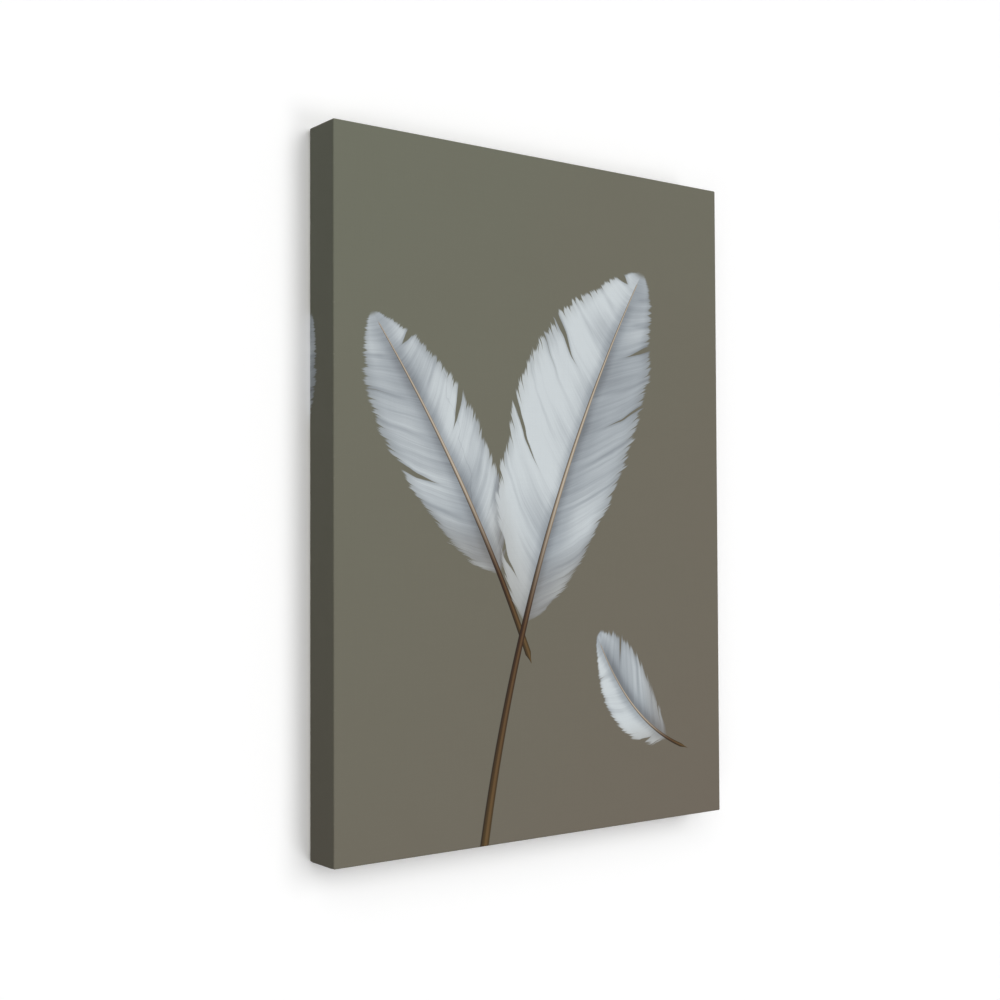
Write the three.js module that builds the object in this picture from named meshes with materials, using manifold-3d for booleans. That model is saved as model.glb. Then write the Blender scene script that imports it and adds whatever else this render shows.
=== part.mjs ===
// A stretched canvas print: one sheet of printed canvas pulled over a wooden
// stretcher frame, wrapped round its four sides and stapled on the back.
// Millimetres, +X to the viewer's right, +Y towards the wall, +Z up. The
// picture faces -Y. The origin is on the wall plane, at the middle notch of the
// sawtooth hanger.
import * as THREE from "three";
import { RoundedBoxGeometry } from "three/addons/geometries/RoundedBoxGeometry.js";
import { mergeVertices } from "three/addons/utils/BufferGeometryUtils.js";
import Module from "manifold-3d";

// ---- driving dimensions -------------------------------------------------
const PICTURE_W = 500; // over the canvas
const PICTURE_H = 700;
const WRAP_D = 45; // depth of the wrapped side
const BUMPER_T = 3; // the wall stands this far behind the canvas
const CLOTH = 0.5; // canvas thickness
const GAP = 0.3; // clearance between touching pieces
const EDGE_R = 2.0; // radius of the canvas over the bar edges
const FLAP = 21; // canvas turned onto the back

const BAR_W = 34; // stretcher bar, outer face to inner face
const LIP_W = 7; // raised lip that carries the canvas
const TONGUE_T = 5; // bridle tongues, and the slots for the keys
const KEY_OUT = 11; // how far a key stands out of its slot
const KEY_TIP = 4; // where its thin end lies, from the outer face
const KEY_THIN = 2.6;
const KEY_THICK = 7.6;

const BRACE_H = 40;
const BRACE_T = 18;
const TENON_H = 26;
const TENON_T = 9;
const TENON_L = 16;

const HANGER_L = 46;
const HANGER_H = 10;
const HANGER_T = 0.9;
const TOOTH_PITCH = 2.3;
const TOOTH_D = 1.8;
const NAIL_R = 0.9;
const NAIL_L = 13;

const STAPLE_W = 11; // crown
const STAPLE_T = 0.6; // wire thickness
const STAPLE_B = 1.1; // wire breadth
const STAPLE_LEG = 7;
const STAPLE_IN = 12; // from the picture's edge

const BUMPER_R = 5.6;

// ---- derived places -----------------------------------------------------
const BACK = -BUMPER_T; // outer face of the turned canvas
const FRONT = BACK - WRAP_D; // picture face
const OX = PICTURE_W / 2 - CLOTH - GAP; // outer faces of the bars
const OZ = PICTURE_H / 2 - CLOTH - GAP;
const BAR_FRONT = FRONT + CLOTH + GAP;
const BAR_BACK = BACK - CLOTH - GAP;
const MID = (BAR_FRONT + BAR_BACK) / 2;
const Y1 = MID - TONGUE_T; // layers of the corner joint
const Y2 = MID;
const Y3 = MID + TONGUE_T;
const H = GAP / 2;
const MITRE = H * Math.SQRT2;
const HANGER_Z = OZ - BAR_W + 2.6; // lower edge of the hanger
const HOOK_Z = HANGER_Z + TOOTH_D; // the notch a wall nail bears in

// ---- tools for joining and cutting ---------------------------------------
const wasm = await Module();
wasm.setup();

function solid(geometry) {
  const g = geometry.index ? geometry.toNonIndexed() : geometry.clone();
  for (const name of Object.keys(g.attributes))
    if (name !== "position") g.deleteAttribute(name);
  const merged = mergeVertices(g, 1e-4);
  return new wasm.Manifold(
    new wasm.Mesh({
      numProp: 3,
      vertProperties: new Float32Array(merged.attributes.position.array),
      triVerts: new Uint32Array(merged.index.array),
    }),
  );
}

function geometryOf(manifold) {
  const m = manifold.getMesh();
  const n = m.numProp;
  const v = new Float32Array(m.numVert * 3);
  for (let i = 0; i < m.numVert; i++)
    v.set(m.vertProperties.subarray(i * n, i * n + 3), i * 3);
  const g = new THREE.BufferGeometry();
  g.setAttribute("position", new THREE.BufferAttribute(v, 3));
  g.setIndex(new THREE.BufferAttribute(new Uint32Array(m.triVerts), 1));
  const flat = g.toNonIndexed();
  flat.computeVertexNormals();
  return flat;
}

const box = (x0, y0, z0, x1, y1, z1) =>
  solid(
    new THREE.BoxGeometry(x1 - x0, y1 - y0, z1 - z0).translate(
      (x0 + x1) / 2,
      (y0 + y1) / 2,
      (z0 + z1) / 2,
    ),
  );

const roundedBox = (w, d, h, r, y) =>
  solid(new RoundedBoxGeometry(w, d, h, 3, r).translate(0, y, 0));

const shapeOf = (points) =>
  new THREE.Shape(points.map(([p, q]) => new THREE.Vector2(p, q)));

// A plate whose outline is given in (x, z), from depth y0 to y1. Its faces lie
// exactly at those depths, so that plates laid against each other join.
function plate(points, y0, y1) {
  const g = new THREE.ExtrudeGeometry(shapeOf(points), {
    depth: y1 - y0,
    bevelEnabled: false,
  })
    .rotateX(Math.PI / 2)
    .translate(0, y1, 0);
  const p = g.attributes.position;
  for (let i = 0; i < p.count; i++)
    p.setY(i, p.getY(i) > (y0 + y1) / 2 ? y1 : y0);
  return solid(g);
}

const joined = (list) => list.reduce((a, b) => a.add(b));
const without = (a, list) => (list.length ? a.subtract(joined(list)) : a);

// Places on a bar are (u, a): u along the bar, a inwards from its outer face.
const SIDES = {
  left: { half: OZ, at: (u, a) => [-OX + a, u], upright: true },
  right: { half: OZ, at: (u, a) => [OX - a, u], upright: true },
  top: { half: OX, at: (u, a) => [u, OZ - a], upright: false },
  bottom: { half: OX, at: (u, a) => [u, -OZ + a], upright: false },
};

// A prism along a bar, with its section in (a, y).
function along(side, section, u0, u1) {
  const g = new THREE.ExtrudeGeometry(
    shapeOf(
      section.map(([a, y]) => {
        const [x, z] = side.at(0, a);
        return [side.upright ? x : -z, y];
      }),
    ),
    { depth: u1 - u0, bevelEnabled: false },
  ).translate(0, 0, u0);
  return solid(side.upright ? g : g.rotateY(Math.PI / 2));
}

// ---- staples: where each one goes, and the holes its legs need -----------
const staples = [];
const steps = (n, reach) =>
  Array.from({ length: n }, (_, i) => -reach + (2 * reach * i) / (n - 1));
const turn = (i) => [4, -3, 6, -5, 2, -6, 3, -2, 5, -4][i % 10];
const SX = PICTURE_W / 2 - STAPLE_IN;
const SZ = PICTURE_H / 2 - STAPLE_IN;
steps(7, 189).forEach((x, i) => {
  staples.push({ name: `staple_top_${i + 1}`, x, z: SZ, turn: turn(i) });
  staples.push({
    name: `staple_bottom_${i + 1}`,
    x: -x,
    z: -SZ,
    turn: turn(i + 3),
  });
});
steps(10, 288).forEach((z, i) => {
  staples.push({
    name: `staple_left_${i + 1}`,
    x: -SX,
    z,
    turn: 90 + turn(i + 5),
  });
  staples.push({
    name: `staple_right_${i + 1}`,
    x: SX,
    z: -z,
    turn: 90 + turn(i + 1),
  });
});
for (const [name, sx, sz, angle] of [
  ["top_left", -1, 1, 45],
  ["top_right", 1, 1, -45],
  ["bottom_left", -1, -1, -45],
  ["bottom_right", 1, -1, 45],
])
  staples.push({
    name: `staple_corner_${name}`,
    x: sx * (PICTURE_W / 2 - 15),
    z: sz * (PICTURE_H / 2 - 15),
    turn: angle,
  });

// Turned about Y, so that positive turns the crown's +X end up.
const turned = (g, s) =>
  g
    .rotateY((-s.turn * Math.PI) / 180)
    .translate(s.x, 0, s.z);

function stapleGeometry(s) {
  const w = STAPLE_W / 2;
  const y1 = BACK + GAP + STAPLE_T;
  const y0 = y1 - STAPLE_T;
  const tip = y0 - STAPLE_LEG;
  const u = shapeOf([
    [-w, y1 - 0.25],
    [-w, tip + 1],
    [-w + STAPLE_T, tip],
    [-w + STAPLE_T, y0],
    [w - STAPLE_T, y0],
    [w - STAPLE_T, tip],
    [w, tip + 1],
    [w, y1 - 0.25],
    [w - 0.25, y1],
    [-w + 0.25, y1],
  ]);
  const g = new THREE.ExtrudeGeometry(u, {
    depth: STAPLE_B,
    bevelEnabled: false,
  }).translate(0, 0, -STAPLE_B / 2);
  return turned(g, s);
}

function legHoles(s) {
  const w = STAPLE_W / 2 - STAPLE_T / 2;
  const y1 = BACK + 1;
  const y0 = BACK + GAP - STAPLE_LEG - GAP;
  return [-w, w].map((x) =>
    solid(
      turned(
        new THREE.BoxGeometry(
          STAPLE_T + 2 * GAP,
          y1 - y0,
          STAPLE_B + 2 * GAP,
        ).translate(x, (y0 + y1) / 2, 0),
        s,
      ),
    ),
  );
}
const holes = staples.flatMap(legHoles);
const allHoles = joined(holes);

// ---- materials -----------------------------------------------------------
const material = (color, roughness, metalness = 0) =>
  new THREE.MeshStandardMaterial({ color, roughness, metalness });
const MAT = {
  canvas: material(0x716f63, 0.75),
  pine: material(0xd9b98a, 0.65),
  brace: material(0xd4b284, 0.65),
  beech: material(0xd0a274, 0.55),
  steel: material(0xb9bcc0, 0.35, 1),
  zinc: material(0xc8ccd0, 0.3, 1),
  rubber: material(0x2b2b2c, 0.6),
};

const picture = new THREE.Group();
picture.position.set(0, 0, -HOOK_Z);
function add(name, geometry, mat) {
  const mesh = new THREE.Mesh(geometry, mat);
  mesh.name = name;
  picture.add(mesh);
}

// ---- canvas ----------------------------------------------------------------
// A tray of cloth: face, four wrapped sides, and the edge turned onto the back.
{
  const middle = (FRONT + BACK) / 2;
  const outer = roundedBox(PICTURE_W, WRAP_D, PICTURE_H, EDGE_R, middle);
  const inner = roundedBox(
    PICTURE_W - 2 * CLOTH,
    WRAP_D - 2 * CLOTH,
    PICTURE_H - 2 * CLOTH,
    EDGE_R - CLOTH,
    middle,
  );
  const back = box(
    -PICTURE_W / 2 + FLAP,
    BACK - 5,
    -PICTURE_H / 2 + FLAP,
    PICTURE_W / 2 - FLAP,
    BACK + 5,
    PICTURE_H / 2 - FLAP,
  );
  add("canvas", geometryOf(without(outer, [inner, back, allHoles])), MAT.canvas);
}

// ---- stretcher bars ----------------------------------------------------------
const keyDepth = (a) => KEY_THIN + ((KEY_THICK - KEY_THIN) * a) / BAR_W;
const frameBlock = roundedBox(
  2 * OX,
  BAR_BACK - BAR_FRONT,
  2 * OZ,
  EDGE_R - CLOTH - GAP + 0.15,
  MID,
);

function bar(side) {
  const U = side.half;
  const outline = (ends) => ends.map(([u, a]) => side.at(u, a));
  const mitred = outline([
    [U - MITRE, 0],
    [U - BAR_W - MITRE, BAR_W],
    [-U + BAR_W + MITRE, BAR_W],
    [-U + MITRE, 0],
  ]);
  const full = outline([
    [U, 0],
    [U, BAR_W],
    [-U, BAR_W],
    [-U, 0],
  ]);
  const keyed = outline([
    [U - BAR_W - keyDepth(0), 0],
    [U - BAR_W - keyDepth(BAR_W), BAR_W],
    [-U + BAR_W + keyDepth(BAR_W), BAR_W],
    [-U + BAR_W + keyDepth(0), 0],
  ]);
  const layers = side.upright
    ? [
        plate(mitred, BAR_FRONT, Y1 + H),
        plate(full, Y1 + H, Y2 - H),
        plate(keyed, Y2 - H, Y3 + H),
        plate(mitred, Y3 + H, BAR_BACK),
      ]
    : [
        plate(mitred, BAR_FRONT, Y1 - H),
        plate(keyed, Y1 - H, Y2 + H),
        plate(full, Y2 + H, Y3 - H),
        plate(mitred, Y3 - H, BAR_BACK),
      ];
  // The front falls away behind the lip, so that only the lip meets the canvas.
  const bevel = along(
    side,
    [
      [LIP_W, BAR_FRONT - 1],
      [LIP_W, BAR_FRONT],
      [LIP_W + 1.2, BAR_FRONT + 0.4],
      [LIP_W + 3.2, BAR_FRONT + 2.2],
      [BAR_W + 1, BAR_FRONT + 6.4],
      [BAR_W + 1, BAR_FRONT - 1],
    ],
    -U - 2,
    U + 2,
  );
  // The inner back edge is broken, as it is on a planed bar.
  const broken = along(
    side,
    [
      [BAR_W - 1.4, BAR_BACK + 0.5],
      [BAR_W - 1.4, BAR_BACK],
      [BAR_W, BAR_BACK - 1.4],
      [BAR_W + 0.5, BAR_BACK - 1.4],
      [BAR_W + 0.5, BAR_BACK + 0.5],
    ],
    -U - 2,
    U + 2,
  );
  const cuts = [bevel, broken, allHoles];
  if (side.upright) {
    const [x0] = side.at(0, BAR_W - TENON_L - 1);
    const [x1] = side.at(0, BAR_W + 1);
    cuts.push(
      box(
        Math.min(x0, x1),
        MID - TENON_T / 2 - GAP,
        -TENON_H / 2 - GAP,
        Math.max(x0, x1),
        MID + TENON_T / 2 + GAP,
        TENON_H / 2 + GAP,
      ),
    );
  }
  if (side === SIDES.top)
    for (const x of [-1, 1])
      cuts.push(
        solid(
          new THREE.CylinderGeometry(
            NAIL_R + GAP,
            NAIL_R + GAP,
            NAIL_L + 2,
            10,
          ).translate(
            x * (HANGER_L / 2 - 4),
            BAR_BACK + 1 - (NAIL_L + 2) / 2,
            HANGER_Z + HANGER_H / 2,
          ),
        ),
      );
  return without(joined(layers).intersect(frameBlock), cuts);
}
for (const name of Object.keys(SIDES))
  add(`stretcher_bar_${name}`, geometryOf(bar(SIDES[name])), MAT.pine);

// ---- corner keys -------------------------------------------------------------
// A wedge in each bar's slot, driven in from the inner corner.
for (const [name, side] of Object.entries(SIDES)) {
  const U = side.half;
  const [y0, y1] = side.upright ? [Y2 + H, Y3 - H] : [Y1 + H, Y2 - H];
  const end = BAR_W + KEY_OUT;
  for (const sign of [-1, 1]) {
    const points = [
      [U - BAR_W - GAP, KEY_TIP],
      [U - BAR_W - GAP, end - 2],
      [U - BAR_W - GAP - 2, end],
      [U - BAR_W - keyDepth(end) + GAP, end],
      [U - BAR_W - keyDepth(KEY_TIP) + GAP, KEY_TIP],
    ].map(([u, a]) => side.at(sign * u, a));
    const where = side.upright
      ? sign > 0
        ? "upper"
        : "lower"
      : sign > 0
        ? "right"
        : "left";
    add(`corner_key_${name}_${where}`, geometryOf(plate(points, y0, y1)), MAT.beech);
  }
}

// ---- centre brace --------------------------------------------------------------
{
  const x = OX - BAR_W - GAP;
  const c = 1.2;
  const section = shapeOf([
    [-BRACE_H / 2 + c, MID - BRACE_T / 2],
    [BRACE_H / 2 - c, MID - BRACE_T / 2],
    [BRACE_H / 2, MID - BRACE_T / 2 + c],
    [BRACE_H / 2, MID + BRACE_T / 2 - c],
    [BRACE_H / 2 - c, MID + BRACE_T / 2],
    [-BRACE_H / 2 + c, MID + BRACE_T / 2],
    [-BRACE_H / 2, MID + BRACE_T / 2 - c],
    [-BRACE_H / 2, MID - BRACE_T / 2 + c],
  ]);
  const body = solid(
    new THREE.ExtrudeGeometry(section, { depth: 2 * x, bevelEnabled: false })
      .translate(0, 0, -x)
      .rotateY(Math.PI / 2),
  );
  const tenon = box(
    -x - TENON_L,
    MID - TENON_T / 2,
    -TENON_H / 2,
    x + TENON_L,
    MID + TENON_T / 2,
    TENON_H / 2,
  );
  add("centre_brace", geometryOf(body.add(tenon)), MAT.brace);
}

// ---- staples ---------------------------------------------------------------------
for (const s of staples)
  add(s.name, geometryOf(solid(stapleGeometry(s))), MAT.steel);

// ---- sawtooth hanger and its nails --------------------------------------------------
{
  const y = BAR_BACK + GAP; // inner face of the flat ends
  const rise = 1.5;
  const l = HANGER_L / 2;
  const t = HANGER_T;
  const [a, b] = [14.6, 12.2]; // where the strip starts and ends its step up
  const path = [
    [-l, y],
    [-a, y],
    [-b, y + rise],
    [b, y + rise],
    [a, y],
    [l, y],
    [l, y + t],
    [a - 0.35, y + t],
    [b - 0.35, y + rise + t],
    [-b + 0.35, y + rise + t],
    [-a + 0.35, y + t],
    [-l, y + t],
  ];
  const strip = solid(
    new THREE.ExtrudeGeometry(shapeOf(path), {
      depth: HANGER_H,
      bevelEnabled: false,
    }).translate(0, 0, HANGER_Z),
  );
  const cuts = [];
  for (let k = -4; k <= 4; k++) {
    const x = k * TOOTH_PITCH;
    cuts.push(
      plate(
        [
          [x - TOOTH_PITCH / 2 + 0.15, HANGER_Z - 1],
          [x + TOOTH_PITCH / 2 - 0.15, HANGER_Z - 1],
          [x + TOOTH_PITCH / 2 - 0.15, HANGER_Z],
          [x, HANGER_Z + TOOTH_D],
          [x - TOOTH_PITCH / 2 + 0.15, HANGER_Z],
        ],
        y + rise - 1,
        y + rise + t + 1,
      ),
    );
  }
  // The ends are clipped, as stamped strip is.
  for (const sx of [-1, 1])
    for (const sz of [-1, 1]) {
      const z = HANGER_Z + HANGER_H / 2 + (sz * HANGER_H) / 2;
      cuts.push(
        plate(
          [
            [sx * (l + 1), z + sz],
            [sx * (l - 2.5), z + sz],
            [sx * (l - 2.5), z],
            [sx * l, z - sz * 2.5],
            [sx * (l + 1), z - sz * 2.5],
          ],
          y - 1,
          y + 2,
        ),
      );
    }
  for (const sx of [-1, 1])
    cuts.push(
      solid(
        new THREE.CylinderGeometry(NAIL_R + GAP, NAIL_R + GAP, 6, 16).translate(
          sx * (l - 4),
          y,
          HANGER_Z + HANGER_H / 2,
        ),
      ),
    );
  add("sawtooth_hanger", geometryOf(without(strip, cuts)), MAT.zinc);

  for (const [name, sx] of [
    ["left", -1],
    ["right", 1],
  ]) {
    const under = y + t + GAP;
    const nail = new THREE.LatheGeometry(
      [
        [0, under - NAIL_L - 1.2],
        [NAIL_R, under - NAIL_L + 0.6],
        [NAIL_R, under],
        [2.1, under],
        [2.1, under + 0.3],
        [1.5, under + 0.7],
        [0, under + 0.8],
      ].map(([r, h]) => new THREE.Vector2(r, h)),
      24,
    ).translate(sx * (l - 4), 0, HANGER_Z + HANGER_H / 2);
    add(`hanger_nail_${name}`, geometryOf(solid(nail)), MAT.steel);
  }
}

// ---- wall bumpers -----------------------------------------------------------------
for (const [name, sx] of [
  ["left", -1],
  ["right", 1],
]) {
  const bumper = new THREE.LatheGeometry(
    [
      [0, BACK + GAP],
      [BUMPER_R, BACK + GAP],
      [BUMPER_R, BACK + GAP + 0.8],
      [BUMPER_R - 0.5, BACK + GAP + 1.7],
      [BUMPER_R - 1.3, BACK + GAP + 2.4],
      [BUMPER_R - 2.0, 0],
      [0, 0],
    ].map(([r, h]) => new THREE.Vector2(r, h)),
    40,
  ).translate(sx * 214, 0, -PICTURE_H / 2 + 12);
  add(`wall_bumper_${name}`, geometryOf(solid(bumper)), MAT.rubber);
}

const canvasPrint = new THREE.Group();
canvasPrint.add(picture);
export default canvasPrint;
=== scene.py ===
import math
import random

import bmesh
import bpy
import numpy as np
from mathutils import Matrix, Vector, noise as mnoise


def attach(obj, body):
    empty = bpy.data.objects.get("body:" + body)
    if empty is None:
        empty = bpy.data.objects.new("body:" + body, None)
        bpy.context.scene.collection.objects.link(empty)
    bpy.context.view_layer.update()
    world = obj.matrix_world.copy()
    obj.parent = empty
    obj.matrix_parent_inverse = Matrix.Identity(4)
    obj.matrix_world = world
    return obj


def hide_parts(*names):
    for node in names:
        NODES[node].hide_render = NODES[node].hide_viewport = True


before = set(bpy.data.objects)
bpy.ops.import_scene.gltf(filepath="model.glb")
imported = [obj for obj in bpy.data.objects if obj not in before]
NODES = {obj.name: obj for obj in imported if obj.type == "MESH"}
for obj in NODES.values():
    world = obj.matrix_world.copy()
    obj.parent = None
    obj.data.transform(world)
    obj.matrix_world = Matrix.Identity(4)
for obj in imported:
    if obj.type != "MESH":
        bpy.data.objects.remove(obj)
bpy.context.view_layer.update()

MM = 0.001

# ------------------------------------------------------------------ sizes, in mm
W, H = 500.0, 700.0  # over the canvas
BACK, FRONT = -3.0, -48.0  # depth of the turned edge and of the picture
EDGE_R = 1.4
FLAP = 21.0
CLOTH = 0.5
HOOK_Z = 319.6  # the picture's middle lies this far below the origin


def place(x, y, z):
    """From the picture's own millimetres to the row frame."""
    return (x * MM, y * MM, (z - HOOK_Z) * MM)


def new_mesh(name, verts, faces, mats=(), smooth=True):
    me = bpy.data.meshes.new(name)
    me.from_pydata([tuple(v) for v in verts], [], [tuple(f) for f in faces])
    for m in mats:
        me.materials.append(m)
    if smooth:
        me.polygons.foreach_set("use_smooth", [True] * len(me.polygons))
    ob = bpy.data.objects.new(name, me)
    bpy.context.scene.collection.objects.link(ob)
    return ob


# ------------------------------------------------------------------ camera
# The photograph's view: from the left of the picture, level with its middle.
F_PX = 1486.152
cam_data = bpy.data.cameras.new("camera")
cam_data.sensor_width = 36.0
cam_data.lens = 36.0 * F_PX / 1000.0
cam_data.clip_start, cam_data.clip_end = 0.02, 60.0
camera = bpy.data.objects.new("camera", cam_data)
bpy.context.scene.collection.objects.link(camera)


def turn(axis, angle):
    return np.array(Matrix.Rotation(angle, 3, axis))


_R = turn("Y", -0.0040308) @ turn("X", -0.0286789) @ turn("Z", 0.6410941)
_t = np.array([0.0652363, 2.1877111, 0.0068795]) * 0.7
_right, _fwd, _up = _R
_at = -_R.T @ _t + np.array(place(0, FRONT, 0))
camera.matrix_world = Matrix(
    [[_right[i], _up[i], -_fwd[i], _at[i]] for i in range(3)] + [[0, 0, 0, 1]]
)
bpy.context.scene.camera = camera


# ------------------------------------------------------------------ values in a node tree
class Net:
    """Builds maths in a node tree."""

    def __init__(self, tree):
        self.tree = tree
        self.n = 0

    def node(self, kind, **settings):
        n = self.tree.nodes.new(kind)
        n.location = (200 * (self.n % 40) - 9000, -180 * (self.n // 40))
        self.n += 1
        for k, v in settings.items():
            setattr(n, k, v)
        return n

    def put(self, socket, value):
        if isinstance(value, Val):
            self.tree.links.new(value.out, socket)
        elif value is not None:
            socket.default_value = value

    def math(self, op, *args, clamp=False):
        n = self.node("ShaderNodeMath", operation=op, use_clamp=clamp)
        for s, a in zip(n.inputs, args):
            self.put(s, a)
        return Val(self, n.outputs[0])

    def step(self, lo, hi, v, to=(0.0, 1.0), smooth=True):
        """Rises from to[0] to to[1] as v goes from lo to hi."""
        n = self.node(
            "ShaderNodeMapRange",
            interpolation_type="SMOOTHSTEP" if smooth else "LINEAR",
            clamp=True,
        )
        for s, a in zip(list(n.inputs)[:5], [v, lo, hi, *to]):
            self.put(s, a)
        return Val(self, n.outputs[0])

    def xyz(self, x=0.0, y=0.0, z=0.0):
        n = self.node("ShaderNodeCombineXYZ")
        for s, a in zip(n.inputs, (x, y, z)):
            self.put(s, a)
        return Val(self, n.outputs[0])

    def split(self, v):
        n = self.node("ShaderNodeSeparateXYZ")
        self.put(n.inputs[0], v)
        return [Val(self, o) for o in n.outputs]

    def noise(self, *co, scale=1.0, detail=2.0, rough=0.5, distort=0.0):
        """Noise from 0 to 1 of one, two or three coordinates."""
        n = self.node("ShaderNodeTexNoise", noise_dimensions=f"{len(co)}D")
        if len(co) == 1:
            self.put(n.inputs["W"], co[0])
        else:
            self.put(n.inputs["Vector"], self.xyz(*co))
        n.inputs["Scale"].default_value = scale
        n.inputs["Detail"].default_value = detail
        n.inputs["Roughness"].default_value = rough
        n.inputs["Distortion"].default_value = distort
        return Val(self, n.outputs[0])

    def cells(self, *co, scale=1.0, feature="DISTANCE_TO_EDGE"):
        n = self.node(
            "ShaderNodeTexVoronoi", voronoi_dimensions=f"{len(co)}D", feature=feature
        )
        if len(co) == 1:
            self.put(n.inputs["W"], co[0])
        else:
            self.put(n.inputs["Vector"], self.xyz(*co))
        n.inputs["Scale"].default_value = scale
        return Val(self, n.outputs[0])

    def mix(self, fac, a, b):
        n = self.node(
            "ShaderNodeMix", data_type="RGBA", blend_type="MIX", clamp_factor=True
        )
        self.put(n.inputs["Factor"], fac)
        self.put(n.inputs[6], a if isinstance(a, Val) else (*a, 1.0))
        self.put(n.inputs[7], b if isinstance(b, Val) else (*b, 1.0))
        return Val(self, n.outputs[2])

    def tone(self, colour, v):
        """The colour made lighter or darker by v."""
        n = self.node(
            "ShaderNodeMix", data_type="RGBA", blend_type="MULTIPLY", clamp_factor=True
        )
        n.inputs["Factor"].default_value = 1.0
        self.put(n.inputs[6], colour if isinstance(colour, Val) else (*colour, 1.0))
        c = self.node("ShaderNodeCombineColor")
        for s in list(c.inputs)[:3]:
            self.put(s, v)
        self.put(n.inputs[7], Val(self, c.outputs[0]))
        return Val(self, n.outputs[2])

    def lerp(self, fac, a, b):
        n = self.node("ShaderNodeMix", data_type="FLOAT", clamp_factor=True)
        self.put(n.inputs[0], fac)
        self.put(n.inputs[2], a)
        self.put(n.inputs[3], b)
        return Val(self, n.outputs[0])

    def place(self):
        """The point on the object in the row frame, in millimetres."""
        tc = self.node("ShaderNodeTexCoord")
        return [v * 1000.0 for v in self.split(Val(self, tc.outputs["Object"]))]

    def uv(self, name):
        n = self.node("ShaderNodeUVMap", uv_map=name)
        return [v * 1000.0 for v in self.split(Val(self, n.outputs[0]))[:2]]

    def attribute(self, name):
        n = self.node("ShaderNodeAttribute", attribute_name=name)
        return Val(self, n.outputs["Fac"])

    def bump(self, height, strength=1.0, distance=MM):
        n = self.node("ShaderNodeBump")
        n.inputs["Strength"].default_value = strength
        n.inputs["Distance"].default_value = distance
        self.put(n.inputs["Height"], height)
        return Val(self, n.outputs[0])


class Val:
    """One value of a Net, with arithmetic."""

    def __init__(self, net, out):
        self.net, self.out = net, out

    def _m(self, op, *a, **k):
        return self.net.math(op, self, *a, **k)

    def __add__(self, o):
        return self._m("ADD", o)

    __radd__ = __add__

    def __sub__(self, o):
        return self._m("SUBTRACT", o)

    def __rsub__(self, o):
        return self.net.math("SUBTRACT", o, self)

    def __mul__(self, o):
        return self._m("MULTIPLY", o)

    __rmul__ = __mul__

    def __truediv__(self, o):
        return self._m("DIVIDE", o)

    def __neg__(self):
        return self._m("MULTIPLY", -1.0)

    def __pow__(self, o):
        return self._m("POWER", o)

    def __abs__(self):
        return self._m("ABSOLUTE")

    def min(self, o):
        return self._m("MINIMUM", o)

    def max(self, o):
        return self._m("MAXIMUM", o)

    def clamp(self):
        return self._m("ADD", 0.0, clamp=True)

    def gt(self, o):
        return self._m("GREATER_THAN", o)

    def lt(self, o):
        return self._m("LESS_THAN", o)

    def sin(self):
        return self._m("SINE")

    def sqrt(self):
        return self._m("SQRT")

    def fract(self):
        return self._m("FRACT")

    def times(self, a, b):
        return self._m("MULTIPLY_ADD", a, b)


def srgb(r, g, b):
    def f(c):
        c /= 255.0
        return c / 12.92 if c <= 0.04045 else ((c + 0.055) / 1.055) ** 2.4

    return (f(r), f(g), f(b))


def material(name, rough=0.7, metal=0.0, specular=0.5):
    """A material with its own Net. Constants sit on the shader's own sockets."""
    m = bpy.data.materials.new(name)
    m.use_nodes = True
    t = m.node_tree
    t.nodes.clear()
    net = Net(t)
    out = net.node("ShaderNodeOutputMaterial")
    bsdf = net.node("ShaderNodeBsdfPrincipled")
    t.links.new(bsdf.outputs[0], out.inputs[0])
    bsdf.inputs["Roughness"].default_value = rough
    bsdf.inputs["Metallic"].default_value = metal
    bsdf.inputs["Specular IOR Level"].default_value = specular
    return m, net, bsdf.inputs


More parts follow.
